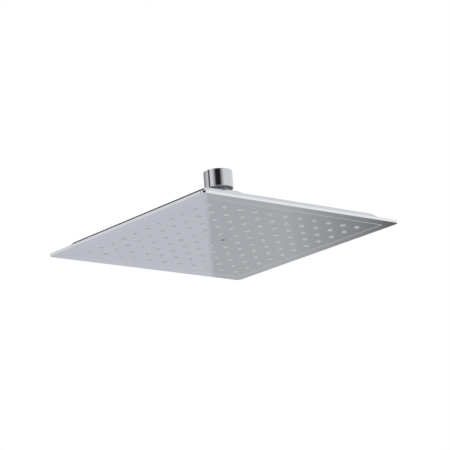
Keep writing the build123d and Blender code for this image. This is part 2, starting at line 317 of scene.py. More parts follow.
def mottle(tree, shader, place, size_mm, low, high):
    """Lets the gloss wander between two roughnesses in soft patches."""
    pattern = {"Vector": place, "Scale": per_metre(size_mm), "Detail": 3.0}
    patches = add(tree, "ShaderNodeTexNoise", pattern)
    most_noise = {"From Min": 0.3, "From Max": 0.7}
    reach = {"Value": patches, **most_noise, "To Min": low, "To Max": high}
    gloss = add(tree, "ShaderNodeMapRange", reach)
    tree.links.new(gloss.outputs[0], shader.inputs["Roughness"])


def ripple(tree, shader, place, size_mm, height_mm, detail=1.0):
    """Raises the surface in soft swells of a given width and height."""
    pattern = {"Vector": place, "Scale": per_metre(size_mm), "Detail": detail}
    swells = add(tree, "ShaderNodeTexNoise", pattern)
    relief = {"Height": swells, "Strength": 1.0, "Distance": height_mm * MM}
    bump = add(tree, "ShaderNodeBump", relief)
    tree.links.new(bump.outputs[0], shader.inputs["Normal"])


def chrome_on_plastic(scene):
    """Bright chrome plate on moulded ABS.

    A clean cool mirror that wavers a little over the moulding's sinks.
    """
    base = scene.shower_colours.shell_chrome
    material, *paint = begin("Chrome plated ABS", base, roughness=0.05, metallic=1.0)
    mottle(*paint, size_mm=28, low=0.035, high=0.075)
    ripple(*paint, size_mm=24, height_mm=0.012)
    return material


def chrome_on_brass(scene):
    """Bright chrome plate on turned brass.

    A tight mirror with the lathe's fine rings just felt in the gloss. Under the collar's foot and
    around the neck its gloss is dull and its colour is darkened in a painted shade.
    """
    colours, sizes = scene.shower_colours, scene.shower_collar
    # The second colour is painted shade around the neck, under the collar
    bright, shaded_chrome = (*colours.collar_chrome, 1), (*colours.neck_shade_chrome, 1)
    material, tree, shader, place = begin(
        "Chrome plated brass", colours.collar_chrome, roughness=0.04, metallic=1.0
    )
    # Turning marks are about 0.1 mm apart; they are drawn at 1.184 mm so that they show at all
    pace = per_metre(1.184) * TURN / WAVE_PACE
    marks = {"Vector": place, "Scale": pace, "Distortion": 0.6, "Detail": 1.0}
    rings = add(tree, "ShaderNodeTexWave", marks, bands_direction="Z").outputs["Fac"]
    gloss = add(tree, "ShaderNodeMapRange", {"Value": rings, "To Min": 0.03, "To Max": 0.06})

    # Under the collar's foot and near the neck: a dull gloss and a painted shade, ending softly
    height = add(tree, "ShaderNodeSeparateXYZ", {0: place}).outputs["Z"]
    flat = add(tree, "ShaderNodeVectorMath", {0: place, 1: (1, 1, 0)}, operation="MULTIPLY")
    radius = add(tree, "ShaderNodeVectorMath", {0: flat}, operation="LENGTH").outputs["Value"]
    foot, blur = collar_foot(sizes), 0.2 * MM
    dull_shaded_radius, bright_radius = sizes.neck_radius * 1.2, sizes.neck_radius * 1.7
    under = {"Value": height, "From Min": foot + blur, "From Max": foot - blur}
    within = {"Value": radius, "From Min": bright_radius, "From Max": dull_shaded_radius}
    under, within = (add(tree, "ShaderNodeMapRange", inputs) for inputs in (under, within))
    dull_and_shaded = add(tree, "ShaderNodeMath", {0: under, 1: within}, operation="MULTIPLY")
    blend = {"Factor": dull_and_shaded, "A": bright, "B": shaded_chrome}
    shade = add(tree, "ShaderNodeMix", blend, data_type="RGBA").outputs["Result"]
    added_roughness = 0.25
    dulling = {0: dull_and_shaded, 1: added_roughness, 2: gloss}
    rough = add(tree, "ShaderNodeMath", dulling, operation="MULTIPLY_ADD").outputs[0]
    tree.links.new(shade, shader.inputs["Base Color"])
    tree.links.new(rough, shader.inputs["Roughness"])
    return material


def mirror_chrome(scene):
    """Mirror chrome of the face.

    It shows the room almost undimmed, with edges that waver along the thin plate.
    """
    base = scene.shower_colours.face_chrome
    material, *paint = begin("Mirror chrome face", base, roughness=0.05, metallic=1.0)
    mottle(*paint, size_mm=35, low=0.02, high=0.04)
    ripple(*paint, size_mm=26, height_mm=0.02)
    return material


def soft_silicone(scene):
    """Moulded silicone: matt and slightly translucent, so that no edge or highlight is sharp."""
    material, *paint = begin(
        "Silicone rubber",
        scene.shower_colours.silicone,
        roughness=0.5,
        Subsurface_Weight=0.2,
        Subsurface_Radius=(1.0, 1.0, 1.0),
        Subsurface_Scale=1.0 * MM,
        IOR=1.41,
    )
    mottle(*paint, size_mm=9, low=0.42, high=0.6)
    ripple(*paint, size_mm=0.5, height_mm=0.004, detail=2.0)
    return material


def matt_rubber(scene):
    """Pressed EPDM rubber: near black and dull, with a fine mould grain."""
    material, *paint = begin("EPDM rubber", scene.shower_colours.rubber, roughness=0.7, IOR=1.5)
    mottle(*paint, size_mm=6, low=0.6, high=0.8)
    ripple(*paint, size_mm=0.3, height_mm=0.006, detail=2.0)
    return material


def waxy_acetal(scene):
    """Moulded acetal: off-white and waxy, with a soft broad sheen."""
    material, *paint = begin(
        "Acetal",
        scene.shower_colours.acetal,
        roughness=0.38,
        IOR=1.48,
        Subsurface_Weight=0.1,
        Subsurface_Radius=(1.0, 0.9, 0.8),
        Subsurface_Scale=0.5 * MM,
    )
    mottle(*paint, size_mm=5, low=0.32, high=0.46)
    return material


def plain_abs(scene):
    """Moulded ABS left unplated: dark, with a fine spark-eroded grain."""
    base = scene.shower_colours.plain_plastic
    material, *paint = begin("Plain ABS", base, roughness=0.5, IOR=1.53)
    mottle(*paint, size_mm=12, low=0.42, high=0.58)
    ripple(*paint, size_mm=0.6, height_mm=0.005, detail=2.0)
    return material


def bright_steel(scene):
    """Stainless steel, drawn and headed: grey metal whose gloss fine drawing marks break up."""
    base = scene.shower_colours.steel
    material, *paint = begin("Stainless steel", base, roughness=0.25, metallic=1.0)
    mottle(*paint, size_mm=1.5, low=0.18, high=0.36)
    return material


FINISHES = {
    "chromed_abs": chrome_on_plastic,
    "chromed_brass": chrome_on_brass,
    "mirror_face": mirror_chrome,
    "grey_silicone": soft_silicone,
    "black_rubber": matt_rubber,
    "white_acetal": waxy_acetal,
    "black_abs": plain_abs,
    "stainless_steel": bright_steel,
}
mixed = {}


def finish(context, slot):
    """The material of one of the record's slots, made when it is first asked for."""
    if slot not in mixed:
        mixed[slot] = FINISHES[slot](context.scene)
    return mixed[slot]


# Meshes


def softened(corners):
    """Closed outline through (point, setback) corners, with each setback drawn as a round."""
    outline = []
    for i, (corner, setback) in enumerate(corners):
        corner = Vector(corner)
        if not setback:
            outline.append(corner)
            continue
        before, after = Vector(corners[i - 1][0]), Vector(corners[(i + 1) % len(corners)][0])
        start = corner + (before - corner).normalized() * setback
        end = corner + (after - corner).normalized() * setback
        for step in range(ROUND_STEPS + 1):
            t = step / ROUND_STEPS
            outline.append(start.lerp(corner, t).lerp(corner.lerp(end, t), t))
    return outline


def even_angles(count):
    """Angles of a full turn in equal steps."""
    return [TURN * i / count for i in range(count)]


def round_ring(radius, height, angles, middle=(0, 0)):
    """Points around an upright axis."""
    x, y = middle
    return [(x + radius * math.cos(a), y + radius * math.sin(a), height) for a in angles]


def turned(outline, angles, middle=(0, 0)):
    """Rings of a turned piece, from the (radius, height) points of its outline."""
    return [round_ring(radius, height, angles, middle) for radius, height in outline]


def skin(shape, rings, closed=True):
    """Faces from each ring of points to the next, and from the last to the first if closed."""
    rows = [[shape.verts.new(point) for point in ring] for ring in rings]
    for low, high in zip(rows, rows[1:] + rows[:1] if closed else rows[1:]):
        for i in range(len(low)):
            j = (i + 1) % len(low)
            shape.faces.new((low[i], low[j], high[j], high[i]))


def thread_cut(turns):
    """Depth of a thread, from 0 on its crest to 1 in its root, with both slightly flattened."""
    flank = abs(2 * (turns % 1) - 1)
    return min(max((flank - THREAD_FLAT) / (1 - 2 * THREAD_FLAT), 0), 1)


def thread_rings(top, foot, crest, depth, pitch, angles, mouth=None):
    """Rings of a right-hand thread from top to foot.

    A positive depth cuts a bore and a negative one a screw. A mouth is the upper radius of a
    bevel at 45 degrees that leads into a bore.
    """
    rows = round((top - foot) / pitch * THREAD_ROWS)
    fading = pitch * RUN_OUT
    rings = []
    for row in range(rows + 1):
        height = top + (foot - top) * row / rows
        fade = min(1, (height - foot) / fading, 1 if mouth else (top - height) / fading)
        ring = []
        for angle in angles:
            radius = crest + depth * fade * thread_cut(height / pitch - angle / TURN)
            if mouth:
                radius = max(radius, mouth - (top - height))
            ring.append((radius * math.cos(angle), radius * math.sin(angle), height))
        rings.append(ring)
    return rings


def corner_arc(half, corner, steps):
    """Points of a square's rounded corner, from its +X side to its +Y side."""
    flat = half - corner
    angles = [TURN / 4 * i / steps for i in range(steps + 1)]
    return [(flat + corner * math.cos(a), flat + corner * math.sin(a)) for a in angles]


def four_sides(side, height):
    """Points of one side of a square, repeated by quarter turns."""
    points = []
    for turn in range(4):
        quarter = Matrix.Rotation(turn * TURN / 4, 2)
        points += [(*(quarter @ Vector(point)), height) for point in side]
    return points


def rounded_square(half, height, corner):
    """Points of a square with rounded corners, anticlockwise from the middle of the +X side."""
    flat, steps = half - corner, SIDE_STEPS // 2
    side = [(half, flat * i / steps) for i in range(steps)]
    side += corner_arc(half, corner, CORNER_STEPS)
    side += [(flat - flat * i / steps, half) for i in range(1, steps)]
    return four_sides(side, height)


def settle(shape):
    """Merges what meets, turns every face outwards and marks the sharp edges."""
    bmesh.ops.remove_doubles(shape, verts=shape.verts, dist=MERGE_DISTANCE)
    bmesh.ops.recalc_face_normals(shape, faces=shape.faces)
    for face in shape.faces:
        face.smooth = True
    for edge in shape.edges:
        if not edge.is_manifold:
            raise RuntimeError("the mesh isn't closed")
        edge.smooth = edge.calc_face_angle() < SHARP_ANGLE


def placed(context, name, shape):
    """Puts a drawn shape into the scene."""
    mesh = bpy.data.meshes.new(name)
    shape.to_mesh(mesh)
    shape.free()
    made = bpy.data.objects.new(name, mesh)
    context.scene.collection.objects.link(made)
    return made


def piece(context, name, shape, slot, body, node):
    """Makes the finished object that stands for a CAD node."""
    settle(shape)
    made = placed(context, name, shape)
    made.data.materials.append(finish(context, slot))
    made.modifiers.new("Flat faces stay flat", "WEIGHTED_NORMAL").keep_sharp = True
    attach(made, body)
    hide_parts(node)


def grown(context, name, seed, tree, inputs):
    """Runs a node tree on a shape and gives back what it made as a plain one."""
    holder = placed(context, name, seed)
    modifier = holder.modifiers.new("Grow", "NODES")
    modifier.node_group = tree
    for item in tree.interface.items_tree:
        if item.in_out == "INPUT" and item.name in inputs:
            modifier[item.identifier] = inputs[item.name]
    context.view_layer.update()
    evaluated = holder.evaluated_get(context.evaluated_depsgraph_get())
    plain = bpy.data.meshes.new_from_object(evaluated)
    bpy.data.objects.remove(holder)
    shape = bmesh.new()
    shape.from_mesh(plain)
    if not shape.faces:
        raise RuntimeError(name + " came out empty")
    return shape


def tree_with(name, inputs, output):
    """An empty geometry tree with named inputs, and what its input node gives."""
    tree = bpy.data.node_groups.new(name, "GeometryNodeTree")
    for socket, kind in inputs.items():
        tree.interface.new_socket(socket, in_out="INPUT", socket_type="NodeSocket" + kind)
    tree.interface.new_socket(output, in_out="OUTPUT", socket_type="NodeSocketGeometry")
    return tree, add(tree, "NodeGroupInput").outputs


def end_tree(tree, geometry, material, output):
    """Realizes the copies, paints them and ends the tree."""
    real = add(tree, "GeometryNodeRealizeInstances", {"Geometry": geometry})
    painted = add(tree, "GeometryNodeSetMaterial", {"Geometry": real, "Material": material})
    add(tree, "NodeGroupOutput", {output: painted})


def nozzle_grid():
    """Tree that sets a cell on every place of a square grid but the middle one, in a border."""
    inputs = {
        "Border": "Geometry",
        "Cell": "Object",
        "Rows": "Int",
        "Pitch": "Float",
        "Finish": "Material",
    }
    tree, given = tree_with("Nozzle grid", inputs, "Sheet")
    rows, pitch = given["Rows"], given["Pitch"]
    gaps = add(tree, "ShaderNodeMath", {0: rows, 1: 1.0}, operation="SUBTRACT")
    span = add(tree, "ShaderNodeMath", {0: gaps, 1: pitch}, operation="MULTIPLY")
    spread = {"Size X": span, "Size Y": span, "Vertices X": rows, "Vertices Y": rows}
    grid = add(tree, "GeometryNodeMeshGrid", spread)
    place = add(tree, "GeometryNodeInputPosition")
    from_middle = add(tree, "ShaderNodeVectorMath", {0: place}, operation="LENGTH").outputs["Value"]
    half = add(tree, "ShaderNodeMath", {0: pitch, 1: 0.5}, operation="MULTIPLY")
    off_middle = add(tree, "ShaderNodeMath", {0: from_middle, 1: half}, operation="GREATER_THAN")
    cell = add(tree, "GeometryNodeObjectInfo", {"Object": given["Cell"]}).outputs["Geometry"]
    put = {"Points": grid, "Selection": off_middle, "Instance": cell}
    copies = add(tree, "GeometryNodeInstanceOnPoints", put)
    sheet = add(tree, "GeometryNodeJoinGeometry", {0: given["Border"]})
    tree.links.new(copies.outputs[0], sheet.inputs[0])
    end_tree(tree, sheet, given["Finish"], "Sheet")
    return tree


def woven_gauze():
    """Tree that weaves wires across a round rim."""
    inputs = {
        "Rim": "Geometry",
        "Radius": "Float",
        "Spacing": "Float",
        "Wire": "Float",
        "Height": "Float",
        "Finish": "Material",
    }
    tree, given = tree_with("Woven gauze", inputs, "Gauze")
    spacing, reach, wire = given["Spacing"], given["Radius"], given["Wire"]
    fit = add(tree, "ShaderNodeMath", {0: reach, 1: spacing}, operation="DIVIDE")
    each_way = add(tree, "ShaderNodeMath", {0: fit}, operation="FLOOR")
    count = add(tree, "ShaderNodeMath", {0: each_way, 1: 2.0, 2: 1.0}, operation="MULTIPLY_ADD")
    back = add(tree, "ShaderNodeMath", {0: each_way, 1: -1.0}, operation="MULTIPLY")
    step = add(tree, "ShaderNodeCombineXYZ", {"Y": spacing})
    start = add(tree, "ShaderNodeVectorMath", {0: step, "Scale": back}, operation="SCALE")
    row = {"Count": count, "Start Location": start, "Offset": step}
    places = add(tree, "GeometryNodeMeshLine", row)

    # Each wire is a straight line as long as the chord at its place
    position = add(tree, "GeometryNodeInputPosition")
    across = add(tree, "ShaderNodeSeparateXYZ", {0: position}).outputs["Y"]
    most = add(tree, "ShaderNodeMath", {0: reach, 1: reach}, operation="MULTIPLY")
    less = add(tree, "ShaderNodeMath", {0: across, 1: across}, operation="MULTIPLY")
    square = add(tree, "ShaderNodeMath", {0: most, 1: less}, operation="SUBTRACT")
    chord = add(tree, "ShaderNodeMath", {0: square}, operation="SQRT")
    size = add(tree, "ShaderNodeCombineXYZ", {"X": chord, "Y": 1.0, "Z": 1.0})
    line = add(tree, "GeometryNodeCurvePrimitiveLine", {"Start": (-1, 0, 0), "End": (1, 0, 0)})
    put = {"Points": places, "Instance": line, "Scale": size}
    wires = add(tree, "GeometryNodeInstanceOnPoints", put)
    real = add(tree, "GeometryNodeRealizeInstances", {"Geometry": wires})
    bit = add(tree, "ShaderNodeMath", {0: spacing, 1: WIRE_BITS}, operation="DIVIDE")
    fine = add(tree, "GeometryNodeResampleCurve", {"Curve": real, "Length": bit}, mode="LENGTH")

    # It rises and falls by its own radius, over one crossing wire and under the next
    pace = add(tree, "ShaderNodeMath", {0: math.pi, 1: spacing}, operation="DIVIDE")
    phase = add(tree, "ShaderNodeVectorMath", {0: position, "Scale": pace}, operation="SCALE")
    waves = add(tree, "ShaderNodeVectorMath", {0: phase}, operation="COSINE")
    wave = add(tree, "ShaderNodeSeparateXYZ", {0: waves}).outputs
    weave = add(tree, "ShaderNodeMath", {0: wave["X"], 1: wave["Y"]}, operation="MULTIPLY")
    lift = add(tree, "ShaderNodeMath", {0: weave, 1: wire}, operation="MULTIPLY")
    rise = add(tree, "ShaderNodeCombineXYZ", {"Z": lift})
    woven = add(tree, "GeometryNodeSetPosition", {"Geometry": fine, "Offset": rise})
    round_wire = {"Resolution": WIRE_FACETS, "Radius": wire}
    section = add(tree, "GeometryNodeCurvePrimitiveCircle", round_wire, mode="RADIUS")
    drawn = {"Curve": woven, "Profile Curve": section, "Fill Caps": True}
    tubes = add(tree, "GeometryNodeCurveToMesh", drawn)

    # The wires that cross them are the same ones, turned over and across
    raised = add(tree, "ShaderNodeCombineXYZ", {"Z": given["Height"]})
    both = add(tree, "GeometryNodeJoinGeometry", {0: given["Rim"]})
    for turn in ((0, 0, 0), (math.pi, 0, math.pi / 2)):
        lay = {"Geometry": tubes, "Translation": raised, "Rotation": turn}
        laid = add(tree, "GeometryNodeTransform", lay)
        tree.links.new(laid.outputs[0], both.inputs[0])
    end_tree(tree, both, given["Finish"], "Gauze")
    return tree


def square_ring(half, height):
    """Points around a square cell, in line with those of the hole in its middle."""
    ring = []
    for angle in even_angles(HOLE_FACETS):
        x, y = math.cos(angle), math.sin(angle)
        reach = half / max(abs(x), abs(y))
        ring.append((x * reach, y * reach, height))
    return ring


def pierced_cell(half, outline, low, high):
    """Square cell from its lower face, through a hole with that outline, to its upper face."""
    shape = bmesh.new()
    hole = turned(outline, even_angles(HOLE_FACETS))
    skin(shape, [square_ring(half, low), *hole, square_ring(half, high)], closed=False)
    return shape


def grid_border(shape, rows, pitch, outline, low, high):
    """Band around the grid of cells, out to the (half, height, corner) levels of an outline."""
    inner = rows * pitch / 2
    eighths = [i * 8 / HOLE_FACETS - 1 for i in range(HOLE_FACETS // 4)]
    steps = [pitch / 2 * math.tan(TURN / 8 * eighth) for eighth in eighths]
    along = [(row - (rows - 1) / 2) * pitch + step for row in range(rows) for step in steps][1:]
    rings = []
    for half, height, corner in ((inner, low, 0), *outline, (inner, high, 0)):
        side = [(half, place) for place in along] + corner_arc(half, corner, BORDER_STEPS)
        rings.append(four_sides(side, height))
    skin(shape, rings, closed=False)


def pierced_sheet(context, name, slot, outline, hole, middle_hole, low, high):
    """Sheet of cells, of which a node tree repeats all but the middle one."""
    sizes = context.scene.shower_face
    half = sizes.pitch / 2
    cell = placed(context, name + "_cell", pierced_cell(half, hole, low, high))
    seed = pierced_cell(half, middle_hole, low, high)
    grid_border(seed, sizes.rows, sizes.pitch, outline, low, high)
    inputs = {
        "Cell": cell,
        "Rows": sizes.rows,
        "Pitch": sizes.pitch,
        "Finish": finish(context, slot),
    }
    shape = grown(context, name + "_seed", seed, nozzle_grid(), inputs)
    bpy.data.objects.remove(cell)
    return shape


# Pieces


class SHOWER_OT_collar(bpy.types.Operator):
    """Inlet collar with its pipe thread, neck and ball"""

    bl_idname = "shower.collar"
    bl_label = "Inlet collar"

    def execute(self, context):
        sizes = context.scene.shower_collar
        low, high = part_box("inlet_connector")
        top, wall = high.z, high.x
        recess_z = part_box("inlet_washer")[1].z
        recess_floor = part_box("filter_screen")[0].z
        pocket_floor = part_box("flow_regulator")[0].z
        foot_z = collar_foot(sizes)
        ball = sizes.ball_radius
        ball_z = low.z + math.sqrt(ball**2 - sizes.foot_radius**2)
        first, last = -math.acos(sizes.foot_radius / ball), math.acos(sizes.neck_radius / ball)
        latitudes = [first + (last - first) * i / BALL_STEPS for i in range(BALL_STEPS + 1)]
        mouth = sizes.bore_radius + sizes.lead_in
        corners = [
            ((sizes.recess_radius, recess_z), 0),
            ((sizes.recess_radius, recess_floor), 0),
            ((sizes.pocket_radius, recess_floor), 0),
            ((sizes.pocket_radius, pocket_floor), 0),
            ((sizes.water_radius, pocket_floor), sizes.edge_break),
            ((sizes.water_radius, low.z), sizes.edge_break),
            *[((ball * math.cos(a), ball_z + ball * math.sin(a)), 0) for a in latitudes],
            ((sizes.neck_radius, foot_z), sizes.neck_fillet),
            ((wall, foot_z), sizes.low_round),
            ((wall, top), sizes.top_round),
            ((mouth, top), 0),
        ]
        angles = even_angles(LATHE_FACETS)
        thread = (sizes.bore_radius, sizes.thread_depth, sizes.thread_pitch)
        bore = thread_rings(top, recess_z, *thread, angles, mouth)
        shape = bmesh.new()
        skin(shape, turned(softened(corners), angles) + bore[1:])
        piece(context, "collar_threaded", shape, "chromed_brass", "connector", "inlet_connector")
        return {"FINISHED"}


class SHOWER_OT_gauze(bpy.types.Operator):
    """Woven wire gauze in the inlet"""

    bl_idname = "shower.gauze"
    bl_label = "Filter gauze"

    def execute(self, context):
        sizes = context.scene.shower_gauze
        low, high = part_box("filter_screen")
        radius, inner = high.x, high.x - sizes.rim
        outline = ((radius, low.z), (radius, high.z), (inner, high.z), (inner, low.z))
        rim = bmesh.new()
        skin(rim, turned(outline, even_angles(LATHE_FACETS)))
        inputs = {
            "Radius": radius - sizes.rim / 2,
            "Spacing": sizes.spacing,
            "Wire": sizes.wire_radius,
            "Height": (low.z + high.z) / 2,
            "Finish": finish(context, "stainless_steel"),
        }
        shape = grown(context, "gauze_seed", rim, woven_gauze(), inputs)
        piece(context, "gauze_woven", shape, "stainless_steel", "connector", "filter_screen")
        return {"FINISHED"}


class SHOWER_OT_ball_nut(bpy.types.Operator):
    """Hexagon nut over the ball, with its chamfered corners"""

    bl_idname = "shower.ball_nut"
    bl_label = "Ball nut"

    def execute(self, context):
        sizes = context.scene.shower_joint
        low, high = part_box("ball_nut")
        corner_r, flat_r, top, foot = high.x, high.y, high.z, low.z
        slope, worn = math.tan(sizes.chamfer_angle), sizes.edge_break
        face_r = corner_r - sizes.corner_chamfer / slope
        angles = [math.radians(60 * side + along) for side in range(6) for along in NUT_ANGLES]
        sixth = TURN / 6

        def wall(angle):
            """Radius of the hexagon, whose corners are worn."""
            return min(flat_r / math.cos(angle % sixth - sixth / 2), corner_r - worn)

        def ring(radius, height):
            """Ring whose radius and height may follow the hexagon."""
            points = []
            for angle in angles:
                r = radius(angle) if callable(radius) else radius
                z = height(angle) if callable(height) else height
                points.append((r * math.cos(angle), r * math.sin(angle), z))
            return points

        shoulder, seat = top - sizes.shoulder_drop, top - sizes.seat_drop
        rings = [
            ring(sizes.nut_bore + worn, foot),
            ring(sizes.nut_bore, foot + worn),
            ring(sizes.nut_bore, shoulder),
            ring(sizes.nut_seat, shoulder),
            ring(sizes.nut_seat, seat),
            ring(sizes.nut_lip, top - worn),
            ring(sizes.nut_lip + worn, top),
            ring(lambda a: min(face_r, wall(a) - worn), top),
            ring(wall, lambda a: top - max(worn, (wall(a) - face_r) * slope)),
            ring(wall, foot + worn),
            ring(lambda a: wall(a) - worn, foot),
        ]
        shape = bmesh.new()
        skin(shape, rings)
        piece(context, "nut_hexagon", shape, "chromed_brass", "head", "ball_nut")
        return {"FINISHED"}


class SHOWER_OT_swivel_boss(bpy.types.Operator):
    """Threaded boss under the ball nut"""

    bl_idname = "shower.swivel_boss"
    bl_label = "Swivel boss"

    def execute(self, context):
        sizes = context.scene.shower_joint
        low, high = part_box("swivel_boss")
        top, foot, flange = high.z, low.z, high.x
        floor_z = HUB_TOP_Z + sizes.boss_floor
        corners = [
            ((sizes.boss_bore, top), 0),
            ((sizes.boss_bore, floor_z), 0),
            ((sizes.hole_radius, floor_z), 0),
            ((sizes.hole_radius, foot), 0),
            ((sizes.spigot_radius, foot), 0),
            ((sizes.spigot_radius, HUB_TOP_Z), 0),
            ((flange, HUB_TOP_Z), 0),
            ((flange, floor_z), sizes.edge_break),
            ((sizes.boss_radius, floor_z), 0),
        ]
        angles = even_angles(LATHE_FACETS)
        thread = (sizes.boss_radius, -sizes.thread_depth, sizes.thread_pitch)
        screw = thread_rings(top, floor_z, *thread, angles)
        shape = bmesh.new()
        skin(shape, turned(softened(corners), angles) + screw[-2::-1])
        piece(context, "boss_threaded", shape, "chromed_brass", "head", "swivel_boss")
        return {"FINISHED"}


class SHOWER_OT_shell(bpy.types.Operator):
    """Back shell with its rim, bevelled back and hub"""

    bl_idname = "shower.shell"
    bl_label = "Back shell"

    def execute(self, context):
        sizes, joint = context.scene.shower_shell, context.scene.shower_joint
        back = FACE_Z + sizes.back_height
        roof = back - sizes.wall
        ceiling = HUB_TOP_Z - sizes.wall
        pocket = PLATE_HALF - sizes.pocket
        chamber = pocket - sizes.ledge
        rim_top = FACE_Z + sizes.rim
        foot, top = PLATE_HALF - sizes.bevel_foot, PLATE_HALF - sizes.bevel_top
        seam, soft = sizes.seam_bevel, sizes.rim_round
        corner, bevel_corner, inside = sizes.corner, sizes.bevel_corner, sizes.pocket_corner
        outside = softened(
            [
                ((pocket, FACE_Z + seam, inside), 0),
                ((pocket + seam, FACE_Z, inside + seam), 0),
                ((PLATE_HALF, FACE_Z, corner), soft),
                ((PLATE_HALF, rim_top, corner), soft),
                ((foot, rim_top, bevel_corner), soft),
                ((top, back, bevel_corner), sizes.bevel_round),
                ((sizes.hub_low, back, 0), 0),
            ]
        )[:-1]
        hole = joint.spigot_radius + joint.spigot_gap
        hub = softened(
            [
                ((top, back), 0),
                ((sizes.hub_low, back), sizes.hub_round),
                ((sizes.hub_high, HUB_TOP_Z), sizes.hub_round),
                ((hole, HUB_TOP_Z), 0),
                ((hole, ceiling), 0),
                ((sizes.hub_high - sizes.wall, ceiling), 0),
                ((sizes.hub_low - sizes.wall, roof), 0),
            ]
        )[1:]
        inner = (
            (chamber, roof, inside),
            (chamber, MAT_BACK_Z, inside),
            (pocket, MAT_BACK_Z, inside),
        )
        # The hub's rings take their angles from the square, so that its faces run out to it
        angles = [math.atan2(y, x) for x, y, _ in rounded_square(top, 0, bevel_corner)]
        rings = [rounded_square(*level) for level in outside]
        rings += turned(hub, angles)
        rings += [rounded_square(*level) for level in inner]
        shape = bmesh.new()
        skin(shape, rings)

        # Screw posts: four that run a little into the roof, and the middle one on its webs
        spot, middle_top = sizes.post_spot, ceiling - sizes.post_gap
        posts = [((x, y), roof + sizes.wall / 4) for x in (-spot, spot) for y in (-spot, spot)]
        for middle, high in [((0, 0), middle_top), *posts]:
            outline = (
                (sizes.post_radius, RETAINER_TOP_Z),
                (sizes.post_radius, high),
                (sizes.post_bore, high),
                (sizes.post_bore, RETAINER_TOP_Z),
            )
            skin(shape, turned(outline, even_angles(POST_FACETS), middle))
        near, far = sizes.post_radius - sizes.web / 4, sizes.web_reach
        web_size = (far - near, sizes.web, middle_top - roof)
        web_place = ((far + near) / 2, 0, (middle_top + roof) / 2)
        for turn in range(4):
            web = bmesh.ops.create_cube(shape, size=1)["verts"]
            bmesh.ops.scale(shape, verts=web, vec=web_size)
            bmesh.ops.translate(shape, verts=web, vec=web_place)
            quarter = Matrix.Rotation(turn * TURN / 4, 3, "Z")
            bmesh.ops.rotate(shape, verts=web, cent=(0, 0, 0), matrix=quarter)
        piece(context, "shell_bevelled", shape, "chromed_abs", "head", "back_shell")
        return {"FINISHED"}


class SHOWER_OT_face(bpy.types.Operator):
    """Mirror face plate, pierced for the nozzles and the middle screw"""

    bl_idname = "shower.face"
    bl_label = "Face plate"

    def execute(self, context):
        sizes = context.scene.shower_face
        half, bevel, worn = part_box("face_plate")[1].x, sizes.seam_bevel, sizes.hole_break
        outline = (
            (half - bevel, FACE_Z, sizes.corner - bevel),
            (half, FACE_Z + bevel, sizes.corner),
            (half, MAT_Z, sizes.corner),
        )
        hole = (
            (sizes.hole_radius + worn, FACE_Z),
            (sizes.hole_radius, FACE_Z + worn),
            (sizes.hole_radius, MAT_Z),
        )
        countersink = (
            (sizes.screw_head, FACE_Z),
            (sizes.screw_hole, FACE_Z + sizes.screw_head - sizes.screw_hole),
            (sizes.screw_hole, MAT_Z),
        )
        drawing = (outline, hole, countersink, FACE_Z, MAT_Z)
        shape = pierced_sheet(context, "face_pierced", "mirror_face", *drawing)
        piece(context, "face_pierced", shape, "mirror_face", "head", "face_plate")
        return {"FINISHED"}


class SHOWER_OT_nozzles(bpy.types.Operator):
    """Silicone mat with its soft nozzles"""

    bl_idname = "shower.nozzles"
    bl_label = "Nozzle mat"

    def execute(self, context):
        sizes = context.scene.shower_face
        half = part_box("nozzle_mat")[1].x
        outline = ((half, MAT_Z, sizes.corner), (half, MAT_BACK_Z, sizes.corner))
        bore, flare = sizes.outlet_radius, sizes.outlet_flare
        tip, soft, cut = sizes.tip_radius, sizes.tip_round, sizes.tip_round * HALFWAY_ROUND
        nozzle = (
            (sizes.nozzle_radius, MAT_Z),
            (sizes.nozzle_radius, FACE_Z),
            (tip, NOZZLE_TIP_Z + soft),
            (tip - cut, NOZZLE_TIP_Z + cut),
            (tip - soft, NOZZLE_TIP_Z),
            (bore + flare, NOZZLE_TIP_Z),
            (bore, NOZZLE_TIP_Z + flare),
            (bore, MAT_BACK_Z - flare),
            (bore + flare, MAT_BACK_Z),
        )
        screw_hole = ((sizes.mat_hole, MAT_Z), (sizes.mat_hole, MAT_BACK_Z))
        drawing = (outline, nozzle, screw_hole, MAT_Z, MAT_BACK_Z)
        shape = pierced_sheet(context, "mat_nozzles", "grey_silicone", *drawing)
        piece(context, "mat_nozzles", shape, "grey_silicone", "head", "nozzle_mat")
        return {"FINISHED"}


class SHOWER_OT_inner_pieces(bpy.types.Operator):
    """Finishes of the pieces that are shown as they were modelled: seals, rings and screws"""

    bl_idname = "shower.inner_pieces"
    bl_label = "Seals, rings and screws"

    def execute(self, context):
        slots = {row["node"]: row["material_slot"] for row in frame["record"]["subparts"]}
        for node, solid in frame["nodes"].items():
            if solid.hide_render:
                continue
            for holder in solid.material_slots:
                holder.material = finish(context, slots[node])
        return {"FINISHED"}


# Stage, with sizes in metres, and shades as (share of the way, hex)

FLOOR_SIDE = 40.0
FLOOR_SHADE = "#F4F4F4"

# The chrome sees a white room that turns greyer on the way from the horizon to overhead
ROOM_SHADES = ((0.3, "#FFFFFF"), (0.55, "#E0E2E5"), (0.75, "#E0E2E5"), (1.0, "#BCBEC3"))

# The chrome sees the floor a little greyer, so that the seam around the face stays faint
FLOOR_CARD_SIDE = 10.0
FLOOR_CARD_RISE = 0.02
FLOOR_CARD_SHADES = ((0, "#D0D1D3"),)

# The face mirrors a pale screen and, to its right, a greyer one that falls off into the dark
FACE_SCREEN_SIZE = (1.0, 0.6)
FACE_SCREEN_SHADES = (
    (0.22, "#C8C9CE"),
    (0.28, "#CCCED6"),
    (0.4745, "#CACCD3"),
    (0.4785, "#B5B7BA"),
    (0.6, "#B5B6B9"),
    (0.743, "#878788"),
    (0.775, "#6B6A6B"),
)

